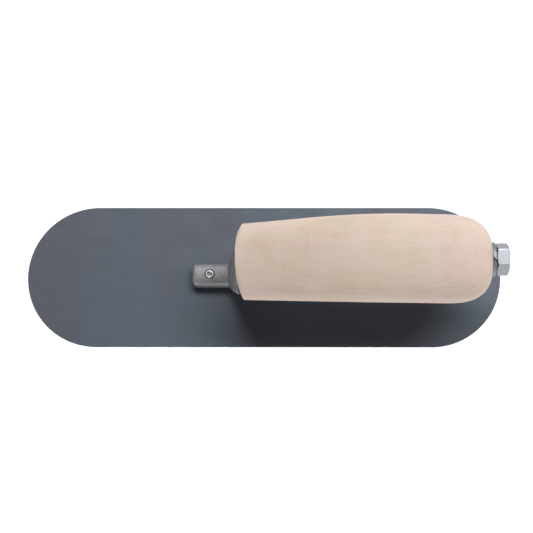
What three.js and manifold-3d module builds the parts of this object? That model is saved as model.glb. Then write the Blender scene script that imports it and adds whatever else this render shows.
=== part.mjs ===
/**
 * Round-ended finishing trowel: a flat spring steel blade, a cast aluminium mounting held to it by
 * rolled-over studs, and a camel-back wooden handle drawn onto the mounting by one long bolt.
 *
 * Millimetres, +Z up. The origin is the middle of the blade's working face, +X runs along the blade
 * towards the bolt end of the handle, and the blade is symmetric about the XZ plane.
 */
import * as THREE from 'three';
import { mergeVertices } from 'three/addons/utils/BufferGeometryUtils.js';
import Module from 'manifold-3d';

const wasm = await Module();
wasm.setup();

const INCH = 25.4;
const CLEARANCE = 0.3; // between pieces that are fitted to each other

// Blade
const BLADE_LENGTH = 10 * INCH;
const BLADE_WIDTH = 3 * INCH;
const BLADE_THICKNESS = 0.6;

// Mounting: the bar along the blade
const BAR_LENGTH = 3 * INCH;
const BAR_WIDTH = 11.7;
const BAR_HEIGHT = 8.8;
const BAR_SIDE_HEIGHT = 5.6; // upright part of the side, below the crown
const BAR_CROWN_POWER = 2.6;
const BAR_NOSE_RADIUS = 2.4; // corners of the bar seen from above
const BAR_BROW_RADIUS = 1.6; // corners of the bar seen from the side

// Handle axis, from the middle of the mounting's seat to the bolt head
const SEAT_X = -12.4;
const SEAT_HEIGHT = 45.3;
const AXIS_SLOPE = THREE.MathUtils.degToRad(3);
const SEAT_LEAN = THREE.MathUtils.degToRad(6); // the seat's top leans forward, towards -X

// Mounting: the post that carries the handle
const POST_FOOT_FRONT_X = -19;
const POST_FOOT_BACK_X = -1;
const POST_FOOT_HALF_WIDTH = 5.6;
const SHOULDER_HALF_WIDTH = 16.4;
const SHOULDER_RISE = 12; // from the handle's axis to the top of the shoulder
const SHOULDER_THICKNESS = 1.8;
const SHOULDER_RIM = 0.5; // thickness left at the top of the shoulder
const POST_SECTION_POWER = 2.6;
const POST_FOOT_SKEW = 3; // draws the widest part of the section to the front, at the foot only
const GUSSET_TOP = 27; // height at which the back of the post meets the seat

// Mounting: the tang inside the handle
const TANG_RADIUS = 8;
const TANG_LENGTH = 45;
const TAPPED_DEPTH = 32;

// Handle
const HANDLE_LENGTH = 124.6;
const HANDLE_FRONT_HALF_WIDTH = 19;
const HANDLE_WIDEST = 21.9;
const HANDLE_WIDEST_AT = 84;
const HANDLE_HEIGHT_SHARE = 0.94; // height over width
const HANDLE_SECTION_POWER = 2.2;
const HUMP_RISE = 6.9;
const HUMP_POWER = 1.4;
const FRONT_EASE = 1; // how far the front end stands back at the two sides
const FRONT_CHAMFER_LENGTH = 1.2; // on the two sides only
const FRONT_CHAMFER_DEPTH = 2.6;
const DOME_START = 100;
const DOME_LENGTH = 25.4;
const DOME_POWER = 3;

// Bolt, 3/8 in - 16 by 4 in, and its split lock washer
const BOLT_RADIUS = (3 / 16) * INCH;
const BOLT_LENGTH = 4 * INCH;
const BOLT_TIP_CHAMFER = 1.2;
const HEAD_ACROSS_FLATS = (9 / 16) * INCH;
const HEAD_HEIGHT = 6.5;
const HEAD_TURN = THREE.MathUtils.degToRad(31);
const WASHER_OUTER_RADIUS = 8.65;
const WASHER_INNER_RADIUS = BOLT_RADIUS + CLEARANCE;
const WASHER_THICKNESS = 1.9;
const WASHER_SPLIT = THREE.MathUtils.degToRad(6);
const WASHER_SPLIT_SKEW = THREE.MathUtils.degToRad(14);
const WASHER_TURN = THREE.MathUtils.degToRad(10);
const WASHER_PLAY = 0.1; // on each side of the washer

// Studs welded to the blade and rolled over on top of the bar
const STUD_XS = [-28.9, 4.5, 16.7, 28.9];
const STUD_RADIUS = 1.6;
const STUD_HEAD_RADIUS = 2.2;
const STUD_HEAD_HEIGHT = 0.8;
const STUD_DIMPLE_RADIUS = 1;
const STUD_DIMPLE_DEPTH = 1.6;
const SPOT_FACE_RADIUS = 2.7;
const SPOT_FACE_DEPTH = 0.6;

const BAR_TOP = BLADE_THICKNESS + BAR_HEIGHT;
const SPOT_FACE_Z = BAR_TOP - SPOT_FACE_DEPTH;

const MATERIALS = {
  spring_steel: { color: 0x5a626e, roughness: 0.35, metalness: 0.8 },
  cast_aluminium: { color: 0x85868a, roughness: 0.6, metalness: 0.7 },
  stud_metal: { color: 0xc6c7c9, roughness: 0.35, metalness: 0.9 },
  wood: { color: 0xd3bca9, roughness: 0.65, metalness: 0 },
  zinc_plate: { color: 0xc4c9cf, roughness: 0.35, metalness: 0.9 },
};

function piece(name, geometry, material) {
  const mesh = new THREE.Mesh(geometry, new THREE.MeshStandardMaterial(MATERIALS[material]));
  mesh.name = name;
  return mesh;
}

/** A closed geometry as a solid that can be joined and cut. */
function solid(geometry) {
  const bare = geometry.index ? geometry.toNonIndexed() : geometry.clone();
  bare.deleteAttribute('normal');
  bare.deleteAttribute('uv');
  const merged = mergeVertices(bare, 1e-4);
  const mesh = new wasm.Mesh({
    numProp: 3,
    vertProperties: Float32Array.from(merged.attributes.position.array),
    triVerts: Uint32Array.from(merged.index.array),
  });
  return new wasm.Manifold(mesh);
}

/** The geometry of a finished solid. */
function skinOf(manifold) {
  const mesh = manifold.getMesh();
  const geometry = new THREE.BufferGeometry();
  geometry.setAttribute('position', new THREE.BufferAttribute(mesh.vertProperties, 3));
  geometry.setIndex(new THREE.BufferAttribute(mesh.triVerts, 1));
  return geometry;
}

/** A closed skin through rings of equally many points, with a flat fan over each end. */
function loft(rings) {
  const sides = rings[0].length;
  const index = [];
  for (let ring = 0; ring < rings.length - 1; ring += 1) {
    for (let side = 0; side < sides; side += 1) {
      const a = ring * sides + side;
      const b = ring * sides + ((side + 1) % sides);
      index.push(a, b, a + sides, b, b + sides, a + sides);
    }
  }
  const last = (rings.length - 1) * sides;
  for (let side = 1; side < sides - 1; side += 1) {
    index.push(0, side + 1, side);
    index.push(last, last + side, last + side + 1);
  }
  const geometry = new THREE.BufferGeometry().setFromPoints(rings.flat());
  geometry.setIndex(index);
  return geometry;
}

/** A point on a superellipse of half sizes 1, which is a circle at power 2. */
function superellipse(angle, power) {
  const bend = (value) => Math.sign(value) * Math.abs(value) ** (2 / power);
  return { across: bend(Math.cos(angle)), up: bend(Math.sin(angle)) };
}

/** A solid of revolution about +X, from [x, radius] pairs that start and end on the axis. */
function turnedAboutX(profile, segments) {
  const points = profile.map(([x, radius]) => new THREE.Vector2(radius, x));
  return new THREE.LatheGeometry(points, segments).rotateZ(-Math.PI / 2);
}

/** A plain round bar along +X. */
function roundBar(start, end, radius, segments) {
  return turnedAboutX([[start, 0], [start, radius], [end, radius], [end, 0]], segments);
}

/** From the handle's own frame, x along its axis from the seat, to the trowel's frame. */
function handleFrame() {
  const frame = new THREE.Group();
  frame.position.set(SEAT_X, 0, SEAT_HEIGHT);
  frame.rotation.y = -AXIS_SLOPE;
  frame.updateMatrixWorld();
  return frame;
}

function blade() {
  const end = BLADE_WIDTH / 2;
  const straight = BLADE_LENGTH / 2 - end;
  const outline = new THREE.Shape();
  outline.moveTo(-straight, -end);
  outline.lineTo(straight, -end);
  outline.absarc(straight, 0, end, -Math.PI / 2, Math.PI / 2);
  outline.lineTo(-straight, end);
  outline.absarc(-straight, 0, end, Math.PI / 2, (3 * Math.PI) / 2);
  const geometry = new THREE.ExtrudeGeometry(outline, {
    depth: BLADE_THICKNESS,
    bevelEnabled: false,
    curveSegments: 48,
  });
  return piece('blade', geometry, 'spring_steel');
}

/** The bar: its crowned section, its plan and its side view, all three cut out of each other. */
function barSolid() {
  const half = BAR_LENGTH / 2;
  const wide = BAR_WIDTH / 2;
  const section = new THREE.Shape();
  section.moveTo(-wide, 0);
  section.lineTo(wide, 0);
  const crownSteps = 20;
  for (let step = 0; step <= crownSteps; step += 1) {
    const { across, up } = superellipse((Math.PI * step) / crownSteps, BAR_CROWN_POWER);
    const z = THREE.MathUtils.lerp(BAR_SIDE_HEIGHT, BAR_HEIGHT, up);
    section.lineTo(across * wide, z);
  }
  const along = new THREE.ExtrudeGeometry(section, {
    depth: BAR_LENGTH,
    bevelEnabled: false,
  });
  along.rotateX(Math.PI / 2).rotateZ(Math.PI / 2).translate(-half, 0, BLADE_THICKNESS);

  const nose = BAR_NOSE_RADIUS;
  const plan = new THREE.Shape();
  plan.absarc(-half + nose, -wide + nose, nose, Math.PI, (3 * Math.PI) / 2);
  plan.absarc(half - nose, -wide + nose, nose, -Math.PI / 2, 0);
  plan.absarc(half - nose, wide - nose, nose, 0, Math.PI / 2);
  plan.absarc(-half + nose, wide - nose, nose, Math.PI / 2, Math.PI);
  const upright = new THREE.ExtrudeGeometry(plan, {
    depth: 2 * BAR_HEIGHT,
    bevelEnabled: false,
    curveSegments: 8,
  });

  const brow = BAR_BROW_RADIUS;
  const side = new THREE.Shape();
  side.moveTo(-half, 0);
  side.lineTo(half, 0);
  side.absarc(half - brow, BAR_HEIGHT - brow, brow, 0, Math.PI / 2);
  side.absarc(-half + brow, BAR_HEIGHT - brow, brow, Math.PI / 2, Math.PI);
  const across = new THREE.ExtrudeGeometry(side, {
    depth: 2 * BAR_WIDTH,
    bevelEnabled: false,
    curveSegments: 8,
  });
  across.rotateX(Math.PI / 2).translate(0, BAR_WIDTH, BLADE_THICKNESS);
  return solid(along).intersect(solid(upright)).intersect(solid(across));
}

/** Where the seat's plane lies at a height. */
function seatX(z) {
  return SEAT_X - (z - SEAT_HEIGHT) * Math.tan(SEAT_LEAN);
}

/** The post's section at a height: its front and back along X, and its half width. */
function postSection(z) {
  const climb = THREE.MathUtils.clamp((z - BAR_TOP) / (SEAT_HEIGHT - BAR_TOP), 0, 1);
  const above = Math.max(0, (z - SEAT_HEIGHT) / SHOULDER_RISE);
  const thickness = THREE.MathUtils.lerp(SHOULDER_THICKNESS, SHOULDER_RIM, above);
  const shoulderFront = seatX(z) - thickness;
  const footFront = POST_FOOT_FRONT_X;
  const gusset = THREE.MathUtils.clamp((z - BAR_TOP) / (GUSSET_TOP - BAR_TOP), 0, 1);
  const backClimb = Math.sin((gusset * Math.PI) / 2);
  const seatBack = seatX(z) + SHOULDER_THICKNESS;
  const upperHalfWidth = SHOULDER_HALF_WIDTH * Math.sqrt(Math.max(0, 1 - above ** 2));
  return {
    front: THREE.MathUtils.lerp(footFront, shoulderFront, climb ** 0.9),
    back: THREE.MathUtils.lerp(POST_FOOT_BACK_X, seatBack, backClimb),
    skew: THREE.MathUtils.lerp(POST_FOOT_SKEW, 1, climb ** 2),
    halfWidth: THREE.MathUtils.lerp(POST_FOOT_HALF_WIDTH, upperHalfWidth, climb ** 0.55),
  };
}

/** The post: rings from inside the bar up to the top of the shoulder, cut flat where the handle sits. */
function postSolid() {
  const ringCount = 26;
  const sides = 36;
  const bottom = BLADE_THICKNESS + BAR_SIDE_HEIGHT;
  const rings = [];
  for (let ring = 0; ring <= ringCount; ring += 1) {
    const share = Math.sin(((ring / ringCount) * Math.PI) / 2);
    const z = THREE.MathUtils.lerp(bottom, SEAT_HEIGHT + 0.995 * SHOULDER_RISE, share);
    const { front, back, skew, halfWidth } = postSection(z);
    const points = [];
    for (let side = 0; side < sides; side += 1) {
      const { across, up } = superellipse((side / sides) * 2 * Math.PI, POST_SECTION_POWER);
      const x = THREE.MathUtils.lerp(front, back, ((1 + across) / 2) ** skew);
      points.push(new THREE.Vector3(x, up * halfWidth, z));
    }
    rings.push(points);
  }
  const room = new THREE.BoxGeometry(60, 60, 60).translate(30, 0, 30 - (SEAT_HEIGHT - GUSSET_TOP));
  room.rotateY(-SEAT_LEAN).translate(SEAT_X, 0, SEAT_HEIGHT);
  return solid(loft(rings)).subtract(solid(room));
}

/** The tang that runs into the handle, and the tapped hole in its end. */
function tangSolid(frame) {
  const tang = turnedAboutX(
    [
      [-SHOULDER_THICKNESS / 2, 0],
      [-SHOULDER_THICKNESS / 2, TANG_RADIUS],
      [TANG_LENGTH - 1, TANG_RADIUS],
      [TANG_LENGTH, TANG_RADIUS - 1],
      [TANG_LENGTH, 0],
    ],
    36,
  );
  const hole = roundBar(
    TANG_LENGTH - TAPPED_DEPTH,
    TANG_LENGTH + 1,
    BOLT_RADIUS + CLEARANCE,
    36,
  );
  const tapped = solid(tang).subtract(solid(hole));
  return solid(skinOf(tapped).applyMatrix4(frame.matrixWorld));
}

/** A clear hole for each stud, with a flat spot face on the bar's crown for its rolled head. */
function studHoles() {
  const holes = STUD_XS.map((x) => {
    const points = [
      [0, 0],
      [STUD_RADIUS + CLEARANCE, 0],
      [STUD_RADIUS + CLEARANCE, SPOT_FACE_Z],
      [SPOT_FACE_RADIUS, SPOT_FACE_Z],
      [SPOT_FACE_RADIUS, 2 * BAR_HEIGHT],
      [0, 2 * BAR_HEIGHT],
    ];
    const profile = points.map(([radius, z]) => new THREE.Vector2(radius, z));
    const hole = new THREE.LatheGeometry(profile, 20).rotateX(Math.PI / 2);
    return solid(hole.translate(x, 0, 0));
  });
  return holes.reduce((all, hole) => all.add(hole));
}

function mountCasting(frame) {
  const casting = barSolid().add(postSolid()).add(tangSolid(frame)).subtract(studHoles());
  return piece('mount_casting', skinOf(casting), 'cast_aluminium');
}

function bladeStuds() {
  const headTop = SPOT_FACE_Z + STUD_HEAD_HEIGHT;
  return STUD_XS.map((x, number) => {
    const points = [
      [0, BLADE_THICKNESS],
      [STUD_RADIUS, BLADE_THICKNESS],
      [STUD_RADIUS, SPOT_FACE_Z],
      [STUD_HEAD_RADIUS, SPOT_FACE_Z],
      [STUD_HEAD_RADIUS, headTop - 0.4],
      [STUD_HEAD_RADIUS - 0.4, headTop],
      [STUD_DIMPLE_RADIUS, headTop],
      [STUD_DIMPLE_RADIUS * 0.6, headTop - STUD_DIMPLE_DEPTH],
      [0, headTop - STUD_DIMPLE_DEPTH],
    ];
    const profile = points.map(([radius, z]) => new THREE.Vector2(radius, z));
    const stud = new THREE.LatheGeometry(profile, 20).rotateX(Math.PI / 2);
    return piece(`blade_stud_${number + 1}`, stud.translate(x, 0, 0), 'stud_metal');
  });
}

/** How much of the handle's size is left at a distance from the seat, over the rear dome. */
function domeShare(x) {
  const dome = Math.max(0, (x - DOME_START) / DOME_LENGTH);
  return (1 - dome ** DOME_POWER) ** (1 / DOME_POWER);
}

/** The handle's half width at a distance from the seat, before the chamfer and the dome. */
function handleHalfWidth(x) {
  const rise = Math.sin(Math.min(1, x / HANDLE_WIDEST_AT) * (Math.PI / 2)) ** 1.2;
  return THREE.MathUtils.lerp(HANDLE_FRONT_HALF_WIDTH, HANDLE_WIDEST, rise);
}

/** The height of the handle's middle over its axis. */
function humpAt(x) {
  return HUMP_RISE * Math.max(0, Math.sin((Math.PI * x) / HANDLE_LENGTH)) ** HUMP_POWER;
}

/** Stations along the handle: its chamfer, then evenly, then closer and closer over the dome. */
function handleStations() {
  const stations = [0, FRONT_CHAMFER_LENGTH];
  for (let step = 1; step <= 11; step += 1) {
    stations.push(FRONT_CHAMFER_LENGTH + ((DOME_START - FRONT_CHAMFER_LENGTH) * step) / 11);
  }
  for (let step = 1; step <= 10; step += 1) {
    const share = Math.sin(((step / 10) * Math.PI) / 2);
    stations.push(THREE.MathUtils.lerp(DOME_START, HANDLE_LENGTH, share));
  }
  return stations;
}

function handleRing(x) {
  const sides = 40;
  const chamfer = FRONT_CHAMFER_DEPTH * Math.max(0, 1 - x / FRONT_CHAMFER_LENGTH);
  const lean = Math.tan(SEAT_LEAN - AXIS_SLOPE) * Math.max(0, 1 - x / 12);
  const points = [];
  for (let side = 0; side < sides; side += 1) {
    const { across, up } = superellipse((side / sides) * 2 * Math.PI, HANDLE_SECTION_POWER);
    const halfWidth = (handleHalfWidth(x) - chamfer * across ** 2) * domeShare(x);
    const ease = FRONT_EASE * across ** 2 * Math.max(0, 1 - x / 12);
    const z = humpAt(x) + up * halfWidth * HANDLE_HEIGHT_SHARE;
    points.push(new THREE.Vector3(x + CLEARANCE + ease - lean * z, across * halfWidth, z));
  }
  return points;
}

/** The handle: the turned and sanded body, bored for the tang and for the bolt. */
function handle(frame) {
  const body = loft(handleStations().map(handleRing));
  const socket = roundBar(-10, TANG_LENGTH + 1, TANG_RADIUS + CLEARANCE, 36);
  const bore = roundBar(0, HANDLE_LENGTH + 10, BOLT_RADIUS + CLEARANCE, 36);
  const bored = solid(body).subtract(solid(socket)).subtract(solid(bore));
  const mesh = piece('handle', skinOf(bored), 'wood');
  frame.add(mesh);
}

/** The split lock washer: a ring with one slanting cut at its top. */
function lockWasher(frame) {
  const gap = WASHER_SPLIT / 2;
  const outline = new THREE.Shape();
  outline.absarc(0, 0, WASHER_OUTER_RADIUS, gap, 2 * Math.PI - gap);
  outline.absarc(0, 0, WASHER_INNER_RADIUS, 2 * Math.PI - gap, gap, true);
  const ring = new THREE.ExtrudeGeometry(outline, {
    depth: WASHER_THICKNESS,
    bevelEnabled: false,
    curveSegments: 32,
  });
  const places = ring.attributes.position;
  const point = new THREE.Vector3();
  for (let number = 0; number < places.count; number += 1) {
    point.fromBufferAttribute(places, number);
    point.applyAxisAngle(new THREE.Vector3(0, 0, 1), (WASHER_SPLIT_SKEW * point.z) / WASHER_THICKNESS);
    places.setXYZ(number, point.x, point.y, point.z);
  }
  ring.rotateY(Math.PI / 2).rotateX(Math.PI + WASHER_TURN);
  ring.translate(HANDLE_LENGTH + CLEARANCE + WASHER_PLAY, 0, 0);
  frame.add(piece('lock_washer', ring, 'zinc_plate'));
}

/** The hexagon-headed bolt, its head chamfered on the outside and its tip on the inside end. */
function handleBolt(frame) {
  const under = HANDLE_LENGTH + CLEARANCE + 2 * WASHER_PLAY + WASHER_THICKNESS;
  const corner = HEAD_ACROSS_FLATS / Math.sqrt(3);
  const chamferDrop = 1;
  const prism = roundBar(under, under + HEAD_HEIGHT, corner, 6).rotateX(HEAD_TURN);
  const rounding = turnedAboutX(
    [
      [under - 1, 0],
      [under - 1, corner + 1],
      [under + HEAD_HEIGHT - chamferDrop, corner + 0.1],
      [under + HEAD_HEIGHT, HEAD_ACROSS_FLATS / 2 - 0.3],
      [under + HEAD_HEIGHT, 0],
    ],
    48,
  );
  const shank = turnedAboutX(
    [
      [under - BOLT_LENGTH, 0],
      [under - BOLT_LENGTH, BOLT_RADIUS - BOLT_TIP_CHAMFER],
      [under - BOLT_LENGTH + BOLT_TIP_CHAMFER, BOLT_RADIUS],
      [under + 1, BOLT_RADIUS],
      [under + 1, 0],
    ],
    36,
  );
  const bolt = solid(prism).intersect(solid(rounding)).add(solid(shank));
  frame.add(piece('handle_bolt', skinOf(bolt), 'zinc_plate'));
}

const trowel = new THREE.Group();
const frame = handleFrame();
trowel.add(blade());
trowel.add(mountCasting(frame));
trowel.add(...bladeStuds());
handle(frame);
lockWasher(frame);
handleBolt(frame);
trowel.add(frame);

export default trowel;
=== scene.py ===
"""Looks of the round-ended finishing trowel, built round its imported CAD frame.

The work is in millimetres until a mesh is made, and the frame is in metres.
"""
import math

import bpy
import numpy as np
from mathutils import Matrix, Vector, noise


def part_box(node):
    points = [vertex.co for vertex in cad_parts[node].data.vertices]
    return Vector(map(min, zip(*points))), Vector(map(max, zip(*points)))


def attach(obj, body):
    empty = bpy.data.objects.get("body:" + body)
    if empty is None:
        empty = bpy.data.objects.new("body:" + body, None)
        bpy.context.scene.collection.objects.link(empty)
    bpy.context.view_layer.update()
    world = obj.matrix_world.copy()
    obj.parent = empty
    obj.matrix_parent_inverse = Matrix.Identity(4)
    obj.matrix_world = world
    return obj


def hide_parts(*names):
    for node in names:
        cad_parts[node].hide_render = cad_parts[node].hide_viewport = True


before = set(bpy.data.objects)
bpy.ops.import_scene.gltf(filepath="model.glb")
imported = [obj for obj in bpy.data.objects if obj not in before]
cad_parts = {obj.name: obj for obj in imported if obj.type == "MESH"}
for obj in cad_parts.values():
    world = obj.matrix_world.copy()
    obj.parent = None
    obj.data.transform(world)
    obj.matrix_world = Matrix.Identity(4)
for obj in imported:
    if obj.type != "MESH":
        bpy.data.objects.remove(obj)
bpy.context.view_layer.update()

MM = 0.001
INCH = 25.4
TURN = 2 * math.pi

# The camera: it looks along +Y and steeply down.
IMAGE_SIDE = 533
CAMERA_ELEVATION = math.radians(79.8)
CAMERA_DISTANCE = 650
CAMERA_FOCAL_PIXELS = 1207
CAMERA_AIM = (1.3, 5.7, 0.6)

# Light: a long softbox above and behind, and two weaker ones from the bolt end and from in front.
SKY_STRENGTH = 0.02
LIGHT_DISTANCE = 1.5
LIGHTS = {
    "key": {"towards": (0.2, 0.5, 1), "size": (1.6, 0.45), "power": 33},
    "end_fill": {"towards": (1, -0.2, 0.5), "size": (0.4, 0.7), "power": 5},
    "front_fill": {"towards": (-0.25, -1, 0.12), "size": (1.2, 0.2), "power": 10.5},
}

# Floor
FLOOR_HALF = 8000
FLOOR_WALL = 1400
FLOOR_Z = -0.1
FLOOR_GREY = (0.35, 0.35, 0.35, 1)
FLOOR_GLOW = 0.95

# The handle's axis, from the seat on the mounting to the bolt head.
SEAT = (-12.4, 0, 45.3)
AXIS_SLOPE = math.radians(3)
SEAT_LEAN = math.radians(6)
FRONT_LEAN = math.tan(SEAT_LEAN - AXIS_SLOPE)
FIT = 0.12  # what is left open between the handle and the seat

# Handle
HANDLE_LENGTH = 124.9
FRONT_HALF_WIDTH = 19
WIDEST = 21.9
WIDEST_AT = 84
SWELL_POWER = 1.2
HEIGHT_SHARE = 0.94
SECTION_POWER = 2.2
HUMP_RISE = 6.9
HUMP_POWER = 1.4
FRONT_EASE = 1  # how far the front's two sides stand back from its middle
FRONT_FADE = 12  # the length over which the lean and the ease of the front die out
CHAMFER_LENGTH = 1.2  # on the two sides only
CHAMFER_DEPTH = 2.6
EDGE_ROUNDING = 0.5
DOME_START = 100
DOME_LENGTH = 25.7
DOME_POWER = 3
BORE_RADIUS = 5.06
SOCKET_RADIUS = 8.2
MOUTH_BREAK = 0.4  # the broken edge round the bore and the socket

# Mounting
BAR_SIDE_HEIGHT = 5.6
BAR_CROWN_POWER = 2.6
BAR_HEIGHT = 8.8
BAR_WIDTH = 11.7
NOSE_RADIUS = 2.4
BROW_RADIUS = 1.6
POST_FOOT_FRONT_X = -19
POST_FOOT_BACK_X = -1
POST_FOOT_HALF_WIDTH = 5.6
POST_FRONT_POWER = 0.9
POST_WIDENING_POWER = 0.55
SHOULDER_HALF_WIDTH = 16.4
SHOULDER_RISE = 12
SHOULDER_THICKNESS = 1.8
SHOULDER_RIM = 0.5
POST_SECTION_POWER = 2.6
POST_FOOT_SKEW = 3
GUSSET_TOP = 27
TANG_RADIUS = 8
TANG_LENGTH = 45
TANG_HOLE_END = 13
TANG_HOLE_CLEARANCE = 0.3
CASTING_VOXEL = 0.35
SOFTENING = 0.5
SOFTENING_ROUNDS = 6
LUMP_FREE_HEIGHT = 0.5  # over the blade
LUMPS = ((0.35, 0.07), (1.1, 0.035))  # how close together, per millimetre, and how high
SPOT_RADIUS = 2.6
SPOT_DEPTH = 0.55

# Studs
STUD_RADIUS = 1.6
STUD_TOP = 0.25  # over the bar
STUD_HEAD_FLOOR = 0.5  # under the bar's top

# Bolt and lock washer
BOLT_RADIUS = 3 / 16 * INCH
BOLT_LENGTH = 4 * INCH
THREAD_PITCH = INCH / 16
THREAD_LENGTH = 28
THREAD_DEPTH = 0.9
ACROSS_FLATS = 9 / 16 * INCH
HEAD_HEIGHT = 6.5
HEAD_TURN = math.radians(1)
WASHER_OUTER = 8.6
WASHER_INNER = 5.1
WASHER_THICKNESS = 1.9
WASHER_GAP = 0.15  # on each side of the washer
WASHER_SPLIT = math.radians(6)
WASHER_SLANT = math.radians(16)
WASHER_SPLIT_AT = math.radians(100)

LATHE_SIDES = 64

BLADE_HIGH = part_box("blade")[1] / MM
BLADE_TOP = BLADE_HIGH.z
BAR_TOP = BLADE_TOP + BAR_HEIGHT


# ---------------------------------------------------------------- mesh helpers


def mesh_piece(name, points, faces, slot=None, stands_for=(), sharp=35):
    """A new object from points in millimetres, smooth except where faces turn by over sharp degrees.
    With a slot it is a piece of the trowel, which stands for the CAD nodes that are named."""
    mesh = bpy.data.meshes.new(name)
    scaled = [tuple(value * MM for value in point) for point in points]
    mesh.from_pydata(scaled, [], faces)
    mesh.validate()
    mesh.polygons.foreach_set("use_smooth", [True] * len(mesh.polygons))
    mesh.set_sharp_from_angle(angle=math.radians(sharp))
    piece = bpy.data.objects.new(name, mesh)
    bpy.context.scene.collection.objects.link(piece)
    if slot:
        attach(piece, "root")
        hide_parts(*stands_for)
    return piece


def ring_faces(rings, sides, closed=False):
    """Quads between rings of points, then a cap at each end, or a join of the two ends if closed."""
    faces = []
    for ring in range(rings if closed else rings - 1):
        here = ring * sides
        there = ((ring + 1) % rings) * sides
        for side in range(sides):
            after = (side + 1) % sides
            faces.append((here + side, here + after, there + after, there + side))
    if not closed:
        faces.append(tuple(reversed(range(sides))))
        faces.append(tuple(range((rings - 1) * sides, rings * sides)))
    return faces


def turned(profile, sides, place):
    """Points and faces of a solid of revolution. profile holds (along, radius) pairs whose first and
    last radius may be 0, and place(along, radius, angle) gives each point."""
    points = []
    faces = []
    starts = []
    for along, radius in profile:
        starts.append(len(points))
        count = 1 if radius == 0 else sides
        points += [place(along, radius, TURN * side / sides) for side in range(count)]
    for number in range(len(profile) - 1):
        here = starts[number]
        there = starts[number + 1]
        for side in range(sides):
            after = (side + 1) % sides
            if profile[number][1] == 0:
                faces.append((here, there + after, there + side))
            elif profile[number + 1][1] == 0:
                faces.append((here + side, here + after, there))
            else:
                faces.append((here + side, here + after, there + after, there + side))
    return points, faces


def bent(value, power):
    """A sine or cosine, bent so that a circle becomes a superellipse."""
    return math.copysign(abs(value) ** (2 / power), value)


def mix(low, high, share):
    return low + (high - low) * share


def on_axis(along, across, up):
    """A point from the handle's own frame, along its axis from the seat, in the trowel's frame."""
    x = SEAT[0] + along * math.cos(AXIS_SLOPE) - up * math.sin(AXIS_SLOPE)
    z = SEAT[2] + along * math.sin(AXIS_SLOPE) + up * math.cos(AXIS_SLOPE)
    return (x, SEAT[1] + across, z)


def settled(piece):
    """The piece with its modifiers applied."""
    graph = bpy.context.evaluated_depsgraph_get()
    done = bpy.data.meshes.new_from_object(piece.evaluated_get(graph))
    piece.modifiers.clear()
    piece.data = done
    return piece


# ------------------------------------------------------------------- materials


class Recipe:
    """A procedural material, and short names for the nodes that it is made from."""

    def __init__(self, name, **settings):
        self.material = bpy.data.materials.new(name)
        self.material.use_nodes = True
        self.tree = self.material.node_tree
        self.shader = self.tree.nodes["Principled BSDF"]
        for socket, value in settings.items():
            self.shader.inputs[socket.replace("_", " ")].default_value = value

    def node(self, kind, inputs=(), **properties):
        """A new node, with its properties set and its inputs fed by socket name or number."""
        made = self.tree.nodes.new("ShaderNode" + kind)
        for name, value in properties.items():
            setattr(made, name, value)
        for socket, value in dict(inputs).items():
            self.feed(made.inputs[socket], value)
        return made

    def feed(self, socket, value):
        """Links the socket to another one, or sets it to a plain value."""
        if isinstance(value, bpy.types.NodeSocket):
            self.tree.links.new(value, socket)
        else:
            socket.default_value = value

    def to_shader(self, socket, value):
        self.feed(self.shader.inputs[socket], value)

    def place(self, scale=(1, 1, 1), turn=(0, 0, 0), shift=(0, 0, 0)):
        """Object coordinates in metres, scaled, so that 1000 makes one unit of each millimetre."""
        coordinates = self.node("TexCoord").outputs["Object"]
        inputs = {"Vector": coordinates, "Scale": scale, "Rotation": turn, "Location": shift}
        return self.node("Mapping", inputs).outputs[0]

    def noise(self, vector, scale=1, detail=4, roughness=0.5):
        inputs = {"Vector": vector, "Scale": scale, "Detail": detail, "Roughness": roughness}
        return self.node("TexNoise", inputs).outputs[0]

    def cells(self, vector, scale):
        """The distance to the nearest of many scattered points."""
        return self.node("TexVoronoi", {"Vector": vector, "Scale": scale}).outputs["Distance"]

    def math(self, operation, first, second=0.0, third=0.0):
        inputs = {0: first, 1: second, 2: third}
        return self.node("Math", inputs, operation=operation).outputs[0]

    def span(self, value, low, high, new_low=0.0, new_high=1.0):
        """From new_low to new_high, smoothly, as the value goes from low to high."""
        inputs = {"Value": value, 1: low, 2: high, 3: new_low, 4: new_high}
        return self.node("MapRange", inputs, interpolation_type="SMOOTHSTEP").outputs[0]

    def blend(self, share, first, second):
        """A colour that is the share of the way from the first to the second."""
        made = self.node("Mix", data_type="RGBA")
        self.feed(made.inputs[0], share)
        for socket, colour in ((6, first), (7, second)):  # the node's two colour sockets
            if isinstance(colour, tuple):
                colour = (*colour, 1)
            self.feed(made.inputs[socket], colour)
        return made.outputs[2]

    def axes(self, vector):
        return self.node("SeparateXYZ", {0: vector}).outputs

    def bump(self, height, distance, strength, under=None):
        """A bent normal, over the one under it if there is one, for the shader or another bump."""
        inputs = {"Height": height, "Distance": distance, "Strength": strength}
        if under:
            inputs["Normal"] = under
        return self.node("Bump", inputs).outputs[0]


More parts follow.
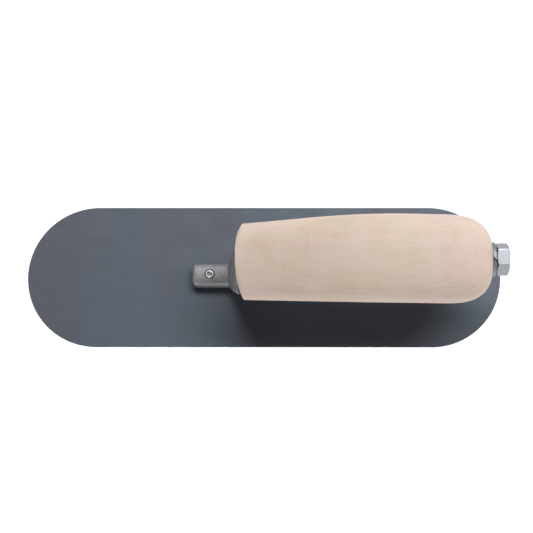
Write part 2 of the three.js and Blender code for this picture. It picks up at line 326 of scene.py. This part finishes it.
def blued_steel():
    """Smooth blued sheet: teal and violet greys that change slowly along the blade."""
    r = Recipe("blued_spring_steel", Metallic=0.2, Specular_IOR_Level=0.35)
    bands = r.noise(r.place((22, 5, 5)), detail=2, roughness=0.4)
    patches = r.noise(r.place((14, 30, 30)), detail=3, roughness=0.5)
    rolled = r.noise(r.place((30, 1100, 1100)), detail=5, roughness=0.6)
    teal = (0.060, 0.080, 0.104)
    violet = (0.066, 0.069, 0.092)
    pale_blue = (0.074, 0.085, 0.106)
    rubbed = (0.12, 0.13, 0.145)
    colour = r.blend(r.span(bands, 0.42, 0.6), teal, violet)
    colour = r.blend(r.span(patches, 0.35, 0.7, 0, 0.5), colour, pale_blue)
    colour = r.blend(r.span(rolled, 0.3, 0.7, 0, 0.08), colour, rubbed)
    r.to_shader("Base Color", colour)
    smear = r.noise(r.place((60, 90, 60)), detail=6, roughness=0.6)
    r.to_shader("Roughness", r.span(smear, 0.3, 0.75, 0.54, 0.62))
    waviness = r.noise(r.place((18, 24, 10)), detail=1)
    under = r.bump(waviness, 0.0002, 0.25)
    r.to_shader("Normal", r.bump(rolled, 0.00001, 0.35, under))
    return r.material


def ground_edge():
    """The blade's edge, ground bright."""
    r = Recipe("ground_steel_edge", Metallic=1.0)
    grinding = r.noise(r.place((900, 900, 200)), detail=4, roughness=0.6)
    dull = (0.3, 0.32, 0.35)
    bright = (0.5, 0.52, 0.55)
    r.to_shader("Base Color", r.blend(grinding, dull, bright))
    r.to_shader("Roughness", r.span(grinding, 0.3, 0.7, 0.3, 0.45))
    r.to_shader("Normal", r.bump(grinding, 0.00002, 0.4))
    return r.material


def cast_aluminium():
    """Tumbled casting: grainy and dull, with dark pores and bright scratches, and painted shade that
    darkens its foot next to the blade.
    """
    r = Recipe("cast_aluminium", Metallic=0.55)
    grain = r.noise(r.place(), scale=1300, detail=6, roughness=0.65)
    clouds = r.noise(r.place(), scale=160, detail=4, roughness=0.55)
    pores = r.cells(r.place(), scale=620)
    scratches = r.noise(r.place((200, 4200, 2600)), detail=2, roughness=0.5)
    height = r.axes(r.place())[2]
    # painted shade: darker over the lowest few millimetres, where contact shadow falls next to the
    # blade
    painted_foot_shade = r.span(height, 0.6 * MM, 3.2 * MM, 0.55, 0)
    dark_skin = (0.165, 0.163, 0.171)
    light_skin = (0.225, 0.223, 0.233)
    bright_grain = (0.30, 0.30, 0.31)
    pore = (0.07, 0.07, 0.075)
    scratch = (0.42, 0.42, 0.44)
    # the colour of the painted shade at the casting's foot
    foot_shade_colour = (0.05, 0.05, 0.055)
    colour = r.blend(r.span(clouds, 0.3, 0.7), dark_skin, light_skin)
    colour = r.blend(r.span(grain, 0.35, 0.7, 0, 0.6), colour, bright_grain)
    colour = r.blend(r.span(pores, 0.1, 0.2, 0.5, 0), colour, pore)
    colour = r.blend(r.span(scratches, 0.62, 0.72, 0, 0.5), colour, scratch)
    colour = r.blend(painted_foot_shade, colour, foot_shade_colour)
    r.to_shader("Base Color", colour)
    r.to_shader("Roughness", r.span(grain, 0.3, 0.7, 0.66, 0.52))
    lumps = r.bump(clouds, 0.0004, 0.4)
    pitted = r.bump(r.span(pores, 0.08, 0.3), 0.00008, 0.6, lumps)
    r.to_shader("Normal", r.bump(grain, 0.00016, 0.8, pitted))
    return r.material


def rolled_steel():
    """The studs: bright where the tool rolled their tops over."""
    r = Recipe("rolled_stud_steel", Metallic=1.0)
    marks = r.noise(r.place(), scale=1500, detail=4, roughness=0.6)
    dull = (0.30, 0.30, 0.32)
    bright = (0.50, 0.50, 0.52)
    r.to_shader("Base Color", r.blend(marks, dull, bright))
    r.to_shader("Roughness", r.span(marks, 0.3, 0.7, 0.36, 0.5))
    r.to_shader("Normal", r.bump(marks, 0.00006, 0.5))
    return r.material


def bare_wood():
    """Pale close-grained hardwood, sanded and left bare, its rings cut slantwise by the hump."""
    r = Recipe("bare_wood", Metallic=0.0, Specular_IOR_Level=0.35)
    slope = (0, AXIS_SLOPE, 0)
    late = r.span(growth_rings(r, slope), 0.72, 0.97)
    fibre = r.noise(r.place((26, 1500, 1500), slope), detail=6, roughness=0.62)
    streak = r.noise(r.place((7, 190, 190), slope), detail=4, roughness=0.55)
    mottle = r.noise(r.place((70, 28, 28), slope), detail=3, roughness=0.5)
    warmth = r.noise(r.place((16, 45, 45), slope), detail=2, roughness=0.5)
    pores = r.noise(r.place((420, 5200, 5200), slope), detail=2, roughness=0.5)
    pink = (0.492, 0.392, 0.336)
    yellow = (0.458, 0.378, 0.290)
    dark_streak = (0.430, 0.325, 0.262)
    late_wood = (0.385, 0.275, 0.205)
    figure_and_sheen = (0.520, 0.440, 0.385)
    dark_fibre = (0.360, 0.262, 0.195)
    pore = (0.26, 0.175, 0.125)
    # the colour of the painted highlight along the handle's front edge
    painted_rim_highlight = (0.66, 0.58, 0.51)
    colour = r.blend(r.span(warmth, 0.35, 0.68), pink, yellow)
    colour = r.blend(r.span(streak, 0.42, 0.72, 0, 0.5), colour, dark_streak)
    colour = r.blend(r.math("MULTIPLY", late, 0.17), colour, late_wood)
    # pale patches across the grain: the wood's mottled figure, with its shimmer painted in as a paler
    # sheen
    colour = r.blend(r.span(mottle, 0.4, 0.65, 0, 0.3), colour, figure_and_sheen)
    colour = r.blend(r.span(fibre, 0.5, 0.75, 0, 0.3), colour, dark_fibre)
    colour = r.blend(r.span(pores, 0.68, 0.76, 0, 0.45), colour, pore)
    # painted highlight: a paler rim along the handle's front edge, where light catches it
    colour = r.blend(r.math("MULTIPLY", rim_highlight_mask(r, slope), 0.6), colour, painted_rim_highlight)
    r.to_shader("Base Color", colour)
    r.to_shader("Roughness", r.span(fibre, 0.3, 0.7, 0.56, 0.72))
    grain = r.bump(fibre, 0.00006, 0.35)
    r.to_shader("Normal", r.bump(pores, 0.00004, 0.25, grain))
    return r.material


def growth_rings(r, slope):
    """From 0 to 1 across each growth ring, round a heart that lies below and beside the handle.
    Lengths are in metres."""
    heart = (0, 0.012, 0.02)
    ring_width = 0.0034
    wandering = 0.010
    drift = r.noise(r.place((9, 60, 60), slope), detail=3, roughness=0.5)
    _, beside, above = r.axes(r.place((1, 1, 1), slope, heart))
    squares = r.math("ADD", r.math("POWER", beside, 2.0), r.math("POWER", above, 2.0))
    wander = r.math("MULTIPLY_ADD", drift, wandering, r.math("SQRT", squares))
    return r.math("FRACT", r.math("MULTIPLY", wander, 1 / ring_width))


def rim_highlight_mask(r, slope):
    """1 on the front edge of the handle, where a rim highlight is painted paler, 0 from a millimetre
    behind it.
    """
    seat_along = SEAT[0] * math.cos(AXIS_SLOPE) + SEAT[2] * math.sin(AXIS_SLOPE)
    seat_up = SEAT[2] * math.cos(AXIS_SLOPE) - SEAT[0] * math.sin(AXIS_SLOPE)
    shift = (-seat_along * MM, 0, -seat_up * MM)
    along, across, up = r.axes(r.place((1, 1, 1), slope, shift))
    ease = r.math("MULTIPLY", r.math("POWER", across, 2.0), FRONT_EASE / FRONT_HALF_WIDTH**2 / MM)
    leaned = r.math("MULTIPLY_ADD", up, FRONT_LEAN, along)
    depth = r.math("SUBTRACT", leaned, ease)
    return r.span(depth, 0.4 * MM, 1.0 * MM, 1, 0)


def zinc_plate(name, smoothest, roughest):
    """Bright zinc plating with a blue cast, greyer in places, between two roughnesses."""
    r = Recipe(name, Metallic=1.0)
    cloud = r.noise(r.place(), scale=420, detail=4, roughness=0.6)
    fine = r.noise(r.place(), scale=3200, detail=4, roughness=0.6)
    blue = (0.225, 0.247, 0.277)
    plain = (0.27, 0.28, 0.285)
    dark_speck = (0.17, 0.18, 0.195)
    colour = r.blend(r.span(cloud, 0.35, 0.7), blue, plain)
    colour = r.blend(r.span(fine, 0.55, 0.8, 0, 0.4), colour, dark_speck)
    r.to_shader("Base Color", colour)
    r.to_shader("Roughness", r.span(cloud, 0.3, 0.7, smoothest, roughest))
    r.to_shader("Normal", r.bump(fine, 0.00003, 0.4))
    return r.material


# ---------------------------------------------------------------------- pieces


def blade_outline(inset, z, arc_steps):
    """The blade's outline, drawn in by inset, at one height."""
    end = BLADE_HIGH.y - inset
    straight = BLADE_HIGH.x - BLADE_HIGH.y
    points = []
    for side in (1, -1):
        for step in range(arc_steps + 1):
            angle = math.pi * (step / arc_steps - 0.5)
            x = side * (straight + end * math.cos(angle))
            points.append((x, side * end * math.sin(angle), z))
    return points


def make_blade():
    """The sheet, with its corners broken and its edge ground."""
    arc_steps = 120
    broken = 0.14
    caps = 2
    layers = [(broken, 0), (0, broken), (0, BLADE_TOP - broken), (broken, BLADE_TOP)]
    points = []
    for inset, z in layers:
        points += blade_outline(inset, z, arc_steps)
    sides = 2 * (arc_steps + 1)
    faces = ring_faces(len(layers), sides)
    blade = mesh_piece("blade_sheet", points, faces, "spring_steel", ["blade"], sharp=25)
    blade.data.materials.append(blued_steel())
    blade.data.materials.append(ground_edge())
    for number, polygon in enumerate(blade.data.polygons):
        polygon.material_index = 0 if number >= len(faces) - caps else 1
    return blade


def handle_ring(x, sides):
    """The handle's outline across its axis, at x behind the seat."""
    rise = math.sin(min(1, x / WIDEST_AT) * math.pi / 2) ** SWELL_POWER
    body = mix(FRONT_HALF_WIDTH, WIDEST, rise)
    chamfer = CHAMFER_DEPTH * max(0, 1 - x / CHAMFER_LENGTH)
    edge = EDGE_ROUNDING * max(0, 1 - x / EDGE_ROUNDING) ** 2
    dome = max(0, (x - DOME_START) / DOME_LENGTH)
    dome_share = (1 - dome**DOME_POWER) ** (1 / DOME_POWER)
    hump = HUMP_RISE * max(0, math.sin(math.pi * x / HANDLE_LENGTH)) ** HUMP_POWER
    fade = max(0, 1 - x / FRONT_FADE)
    lean = FRONT_LEAN * fade
    points = []
    for side in range(sides):
        angle = TURN * side / sides
        side_share = bent(math.cos(angle), SECTION_POWER)
        half_width = (body - edge - chamfer * side_share**2) * dome_share
        across = side_share * half_width
        up = hump + bent(math.sin(angle), SECTION_POWER) * half_width * HEIGHT_SHARE
        ease = FRONT_EASE * side_share**2 * fade
        points.append(on_axis(x + FIT + ease - lean * up, across, up))
    return points


def round_ring(x, radius, sides, lean=0.0):
    """A circle round the handle's axis, leaning as the seat does if lean is given."""
    points = []
    for side in range(sides):
        angle = TURN * side / sides
        up = radius * math.sin(angle)
        points.append(on_axis(x + FIT - lean * up, radius * math.cos(angle), up))
    return points


def make_handle():
    """The body from the seat to the flat at the rear, then back inside through bore and socket."""
    sides = 128
    body_steps = 70
    dome_steps = 40
    body_start = CHAMFER_LENGTH + 0.2
    stations = [0, 0.08, 0.2, 0.5, 0.8, CHAMFER_LENGTH - 0.12, body_start]
    for step in range(1, body_steps + 1):
        stations.append(mix(body_start, DOME_START, step / body_steps))
    for step in range(1, dome_steps + 1):
        share = math.sin(step / dome_steps * math.pi / 2)
        stations.append(mix(DOME_START, HANDLE_LENGTH, share))
    rings = [handle_ring(x, sides) for x in stations]
    socket_end = TANG_LENGTH + 1
    rings.append(round_ring(HANDLE_LENGTH, BORE_RADIUS + MOUTH_BREAK, sides))
    rings.append(round_ring(HANDLE_LENGTH - MOUTH_BREAK, BORE_RADIUS, sides))
    rings.append(round_ring(socket_end, BORE_RADIUS, sides))
    rings.append(round_ring(socket_end, SOCKET_RADIUS, sides))
    rings.append(round_ring(MOUTH_BREAK, SOCKET_RADIUS, sides, FRONT_LEAN))
    rings.append(round_ring(0, SOCKET_RADIUS + MOUTH_BREAK, sides, FRONT_LEAN))
    points = [point for ring in rings for point in ring]
    faces = ring_faces(len(rings), sides, closed=True)
    handle = mesh_piece("handle_wood", points, faces, "bare_wood", ["handle"], sharp=28)
    handle.data.materials.append(bare_wood())
    return handle


def seat_x(z):
    """Where the leaning seat is at a height."""
    return SEAT[0] - (z - SEAT[2]) * math.tan(SEAT_LEAN)


def post_ring(z, sides):
    """The post's outline at a height, from its foot in the bar to the tip of its shoulder."""
    climb = min(1, max(0, (z - BAR_TOP) / (SEAT[2] - BAR_TOP)))
    above = max(0, (z - SEAT[2]) / SHOULDER_RISE)
    thickness = mix(SHOULDER_THICKNESS, SHOULDER_RIM, above)
    gusset = min(1, max(0, (z - BAR_TOP) / (GUSSET_TOP - BAR_TOP)))
    front = mix(POST_FOOT_FRONT_X, seat_x(z) - thickness, climb**POST_FRONT_POWER)
    back = mix(POST_FOOT_BACK_X, seat_x(z) + SHOULDER_THICKNESS, math.sin(gusset * math.pi / 2))
    upper = SHOULDER_HALF_WIDTH * math.sqrt(max(0, 1 - above**2))
    half_width = mix(POST_FOOT_HALF_WIDTH, upper, climb**POST_WIDENING_POWER)
    skew = mix(POST_FOOT_SKEW, 1, climb**2)
    points = []
    for side in range(sides):
        angle = TURN * side / sides
        depth = (1 + bent(math.cos(angle), POST_SECTION_POWER)) / 2
        x = mix(front, back, depth**skew)
        x = min(x, seat_x(z)) if z > GUSSET_TOP else x
        points.append((x, bent(math.sin(angle), POST_SECTION_POWER) * half_width, z))
    return points


def post_mesh():
    """The post as level rings, which end just short of the shoulder's tip."""
    sides = 96
    ring_count = 80
    low = BLADE_TOP + BAR_SIDE_HEIGHT
    high = SEAT[2] + 0.998 * SHOULDER_RISE
    points = []
    for ring in range(ring_count + 1):
        share = math.sin(ring / ring_count * math.pi / 2)
        points += post_ring(mix(low, high, share), sides)
    return points, ring_faces(ring_count + 1, sides)


def bar_mesh():
    """The bar as sections along X, which shrink over its nose and under its brow."""
    arch_steps = 48
    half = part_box("mount_casting")[1].x / MM
    offsets = [0, 0.05, 0.15, 0.3, 0.6, 0.9, 1.3, 1.6, 2.0, NOSE_RADIUS]
    stations = [-half + offset for offset in offsets]
    stations += [half - offset for offset in reversed(offsets)]
    points = []
    for x in stations:
        reach = half - abs(x)
        nose = max(0, NOSE_RADIUS - reach)
        brow = max(0, BROW_RADIUS - reach)
        wide = BAR_WIDTH / 2 - NOSE_RADIUS + math.sqrt(max(0, NOSE_RADIUS**2 - nose**2))
        high = BAR_HEIGHT - BROW_RADIUS + math.sqrt(max(0, BROW_RADIUS**2 - brow**2))
        section = [(-wide, 0), (-wide, BAR_SIDE_HEIGHT)]
        for step in range(1, arch_steps):
            angle = math.pi * (1 - step / arch_steps)
            up = mix(BAR_SIDE_HEIGHT, high, bent(math.sin(angle), BAR_CROWN_POWER))
            section.append((wide * bent(math.cos(angle), BAR_CROWN_POWER), up))
        section += [(wide, BAR_SIDE_HEIGHT), (wide, 0)]
        points += [(x, y, BLADE_TOP + z) for y, z in section]
    faces = ring_faces(len(stations), len(section))
    return points, [tuple(reversed(face)) for face in faces]


def tang_mesh():
    """The round tang, which starts inside the shoulder, with the hole for the bolt in its far end."""
    start = -1
    chamfer = 1
    hole = BOLT_RADIUS + TANG_HOLE_CLEARANCE
    profile = [
        (start, 0),
        (start, TANG_RADIUS),
        (TANG_LENGTH - chamfer, TANG_RADIUS),
        (TANG_LENGTH, TANG_RADIUS - chamfer),
        (TANG_LENGTH, hole),
        (TANG_HOLE_END, hole),
        (TANG_HOLE_END, 0),
    ]

    def place(along, radius, angle):
        return on_axis(along, radius * math.cos(angle), radius * math.sin(angle))

    return turned(profile, LATHE_SIDES, place)


def stud_places():
    """The four studs' node names, and where each is along the blade."""
    names = [f"blade_stud_{number}" for number in range(1, 5)]
    boxes = [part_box(name) for name in names]
    return [(name, (low.x + high.x) / 2 / MM) for name, (low, high) in zip(names, boxes)]


def make_casting():
    """Bar, post and tang, fused, softened and roughened into one casting, then spot-faced."""
    points = []
    faces = []
    for more_points, more_faces in (bar_mesh(), post_mesh(), tang_mesh()):
        start = len(points)
        points += more_points
        faces += [tuple(start + corner for corner in face) for face in more_faces]
    casting = mesh_piece("mount_cast", points, faces, "cast_aluminium", ["mount_casting"])
    fuse = casting.modifiers.new("fuse", "REMESH")
    fuse.mode = "VOXEL"
    fuse.voxel_size = CASTING_VOXEL * MM
    fuse.use_smooth_shade = True
    soften = casting.modifiers.new("soften", "SMOOTH")
    soften.factor = SOFTENING
    soften.iterations = SOFTENING_ROUNDS
    settled(casting)
    roughen(casting)
    spot_face(casting)
    casting.data.polygons.foreach_set("use_smooth", [True] * len(casting.data.polygons))
    casting.data.set_sharp_from_angle(angle=math.radians(40))
    casting.data.materials.clear()
    casting.data.materials.append(cast_aluminium())
    return casting


def read_vectors(items, value):
    """One vector of each item, such as the places of a mesh's vertices, as rows of an array."""
    values = np.empty(3 * len(items), np.float32)
    items.foreach_get(value, values)
    return values.reshape(-1, 3)


def roughen(casting):
    """Low lumps over the casting's skin, and none where it lies on the blade."""
    places = read_vectors(casting.data.vertices, "co") / MM
    normals = read_vectors(casting.data.vertex_normals, "vector")
    for number, place in enumerate(places):
        if place[2] > BLADE_TOP + LUMP_FREE_HEIGHT:
            point = Vector(place)
            lumps = sum(noise.noise(point * rate) * height for rate, height in LUMPS)
            places[number] = place + normals[number] * lumps
    casting.data.vertices.foreach_set("co", (places * MM).ravel())


def spot_face(casting):
    """A small flat on the bar's crown for the rolled head of each stud."""
    places = read_vectors(casting.data.vertices, "co") / MM
    for _, x in stud_places():
        reach = np.hypot(places[:, 0] - x, places[:, 1])
        over_bar = np.abs(places[:, 2] - BAR_TOP) < 2 * SPOT_DEPTH
        cut = (reach < SPOT_RADIUS) & over_bar
        places[cut, 2] = np.minimum(places[cut, 2], BAR_TOP - SPOT_DEPTH)
    casting.data.vertices.foreach_set("co", (places * MM).ravel())
    casting.data.update()


def make_stud(name, x):
    """A stud up from the blade, its hollow top rolled over outwards."""
    top = BAR_TOP + STUD_TOP
    floor = BAR_TOP - STUD_HEAD_FLOOR
    # up the shank, out and round the rolled rim, and down into the hollow
    profile = [
        (BLADE_TOP, 0),
        (BLADE_TOP, STUD_RADIUS),
        (floor, STUD_RADIUS),
        (floor, 2.0),
        (floor + 0.12, 2.17),
        (floor + 0.4, 2.22),
        (top - 0.2, 2.12),
        (top - 0.05, 1.9),
        (top, 1.62),
        (top - 0.05, 1.34),
        (top - 0.22, 1.12),
        (top - 0.5, 1.0),
        (top - 1.2, 0.9),
        (top - 1.5, 0.6),
        (top - 1.6, 0),
    ]

    def place(along, radius, angle):
        return (x + radius * math.cos(angle), radius * math.sin(angle), along)

    points, faces = turned(profile, LATHE_SIDES, place)
    stud = mesh_piece(name + "_rolled", points, faces, "stud_steel", [name], sharp=50)
    stud.data.materials.append(rolled_steel())
    return stud


def hexagon(angle, half_flats):
    """The radius at an angle of a hexagon with slightly rounded corners, one of them at angle 0."""
    sharpness = 70
    total = 0
    for number in range(6):
        facing = math.cos(angle - math.radians(30 + 60 * number))
        total += max(0, facing) ** sharpness
    return half_flats * total ** (-1 / sharpness)


def make_bolt():
    """The thread at the far end, the plain shank, and the head with its washer face and chamfers."""
    sides = 240
    steps_per_thread = 10
    fade_steps = 12
    tip_radius = 3.2
    tip_chamfer = 0.4
    lead_depth = 1.4
    lead_length = 1.6
    under = HANDLE_LENGTH + FIT + 2 * WASHER_GAP + WASHER_THICKNESS
    top = under + HEAD_HEIGHT
    tip = under - BOLT_LENGTH
    half = ACROSS_FLATS / 2
    crown = half * 0.95
    rings = []

    def ring(along, radius_at):
        """Adds a ring at a place along the axis, which may depend on the radius."""
        points = []
        for side in range(sides):
            angle = TURN * side / sides
            radius = radius_at(angle)
            height = along(radius) if callable(along) else along
            across = radius * math.cos(angle + HEAD_TURN)
            points.append(on_axis(height, across, radius * math.sin(angle + HEAD_TURN)))
        rings.append(points)

    ring(tip, lambda angle: tip_radius)
    thread_steps = int(THREAD_LENGTH / THREAD_PITCH * steps_per_thread)
    for step in range(thread_steps + 1):
        along = tip + tip_chamfer + THREAD_LENGTH * step / thread_steps
        fade = min(1, step / fade_steps, (thread_steps - step) / fade_steps)

        def threaded(angle, along=along, fade=fade):
            phase = (along / THREAD_PITCH - angle / TURN) % 1
            groove = THREAD_DEPTH * (1 - abs(2 * phase - 1)) * fade
            lead = lead_depth * max(0, 1 - (along - tip) / lead_length)
            return min(BOLT_RADIUS - groove, BOLT_RADIUS - lead)

        ring(along, threaded)

    # the shank, the fillet under the head and the washer face
    ring(under - 0.5, lambda angle: BOLT_RADIUS)
    ring(under - 0.05, lambda angle: BOLT_RADIUS + 0.35)
    ring(under, lambda angle: half * 0.93)
    ring(under + 0.35, lambda angle: half * 0.95)

    def under_chamfer(radius):
        return under + 0.4 + max(0, radius - half) * 0.35

    def top_chamfer(radius):
        return top - max(0, radius - crown) * math.tan(math.radians(30))

    # the hexagon between its two chamfers, each edge slightly broken, and its round top
    ring(under_chamfer, lambda angle: hexagon(angle, half - 0.08))
    ring(lambda radius: under_chamfer(radius) + 0.12, lambda angle: hexagon(angle, half))
    ring(lambda radius: top_chamfer(radius) - 0.12, lambda angle: hexagon(angle, half))
    ring(top_chamfer, lambda angle: hexagon(angle, half - 0.1))
    ring(top_chamfer, lambda angle: (hexagon(angle, half) + crown) / 2)
    ring(top - 0.05, lambda angle: crown + 0.05)
    ring(top, lambda angle: crown - 0.25)
    points = [point for one in rings for point in one]
    faces = ring_faces(len(rings), sides)
    bolt = mesh_piece("handle_bolt_zinc", points, faces, "zinc_plate", ["handle_bolt"], sharp=22)
    bolt.data.materials.append(zinc_plate("zinc_plate", 0.36, 0.5))
    return bolt


def make_washer():
    """The split washer: a rounded section swept round, with slanting ends that don't quite meet."""
    start = HANDLE_LENGTH + FIT + WASHER_GAP
    round_off = 0.25
    inner = WASHER_INNER
    outer = WASHER_OUTER
    thick = WASHER_THICKNESS
    section = [
        (round_off, inner),
        (thick - round_off, inner),
        (thick, inner + round_off),
        (thick, outer - 2 * round_off),
        (thick - 0.3 * round_off, outer - 0.7 * round_off),
        (thick - 1.6 * round_off, outer),
        (1.6 * round_off, outer),
        (0.3 * round_off, outer - 0.7 * round_off),
        (0, outer - 2 * round_off),
        (0, inner + round_off),
    ]
    steps = 120
    points = []
    for step in range(steps + 1):
        sweep = mix(WASHER_SPLIT / 2, TURN - WASHER_SPLIT / 2, step / steps)
        for along, radius in section:
            angle = WASHER_SPLIT_AT + sweep + WASHER_SLANT * (along / thick - 0.5)
            across = radius * math.cos(angle)
            points.append(on_axis(start + along, across, radius * math.sin(angle)))
    faces = ring_faces(steps + 1, len(section))
    washer = mesh_piece("lock_washer_zinc", points, faces, "zinc_plate", ["lock_washer"], sharp=30)
    washer.data.materials.append(zinc_plate("dull_zinc_plate", 0.55, 0.7))
    return washer


# ------------------------------------------------------- floor, light and camera


def make_floor():
    """A wide pale floor with a low wall round it, which closes the horizon in views from the side."""
    corners = [(-1, -1), (1, -1), (1, 1), (-1, 1)]
    points = [(x * FLOOR_HALF, y * FLOOR_HALF, FLOOR_Z) for x, y in corners]
    points += [(x, y, FLOOR_WALL) for x, y, _ in points]
    walls = [(side, (side + 1) % 4, 4 + (side + 1) % 4, 4 + side) for side in range(4)]
    floor = mesh_piece("floor", points, [(0, 1, 2, 3), *walls])
    r = Recipe("pale_floor", Roughness=0.9, Specular_IOR_Level=0.1)
    r.to_shader("Base Color", FLOOR_GREY)
    r.to_shader("Emission Color", (1, 1, 1, 1))
    r.to_shader("Emission Strength", FLOOR_GLOW)
    floor.data.materials.append(r.material)


def make_light():
    """A faint white sky and the softboxes."""
    world = bpy.data.worlds.new("studio")
    world.use_nodes = True
    sky = world.node_tree.nodes["Background"]
    sky.inputs["Color"].default_value = (1, 1, 1, 1)
    sky.inputs["Strength"].default_value = SKY_STRENGTH
    bpy.context.scene.world = world
    for name, settings in LIGHTS.items():
        area_light(name, **settings)


def area_light(name, towards, size, power):
    """A rectangular softbox that looks at the trowel from a direction, at LIGHT_DISTANCE."""
    lamp = bpy.data.lights.new(name, "AREA")
    lamp.shape = "RECTANGLE"
    lamp.size, lamp.size_y = size
    lamp.energy = power
    light = bpy.data.objects.new(name, lamp)
    direction = Vector(towards).normalized()
    light.location = direction * LIGHT_DISTANCE
    light.rotation_euler = direction.to_track_quat("Z", "Y").to_euler()
    bpy.context.scene.collection.objects.link(light)


def make_camera():
    """A camera that looks down at CAMERA_AIM, with the horizon level."""
    data = bpy.data.cameras.new("camera")
    data.lens = CAMERA_FOCAL_PIXELS / IMAGE_SIDE * data.sensor_width
    camera = bpy.data.objects.new("camera", data)
    away = Vector((0, -math.cos(CAMERA_ELEVATION), math.sin(CAMERA_ELEVATION)))
    camera.location = (Vector(CAMERA_AIM) + away * CAMERA_DISTANCE) * MM
    camera.rotation_euler = (math.pi / 2 - CAMERA_ELEVATION, 0, 0)
    bpy.context.scene.collection.objects.link(camera)
    bpy.context.scene.camera = camera
    bpy.context.scene.view_settings.view_transform = "Standard"


make_camera()
make_light()
make_floor()
make_blade()
make_casting()
for stud_name, stud_x in stud_places():
    make_stud(stud_name, stud_x)
make_handle()
make_bolt()
make_washer()
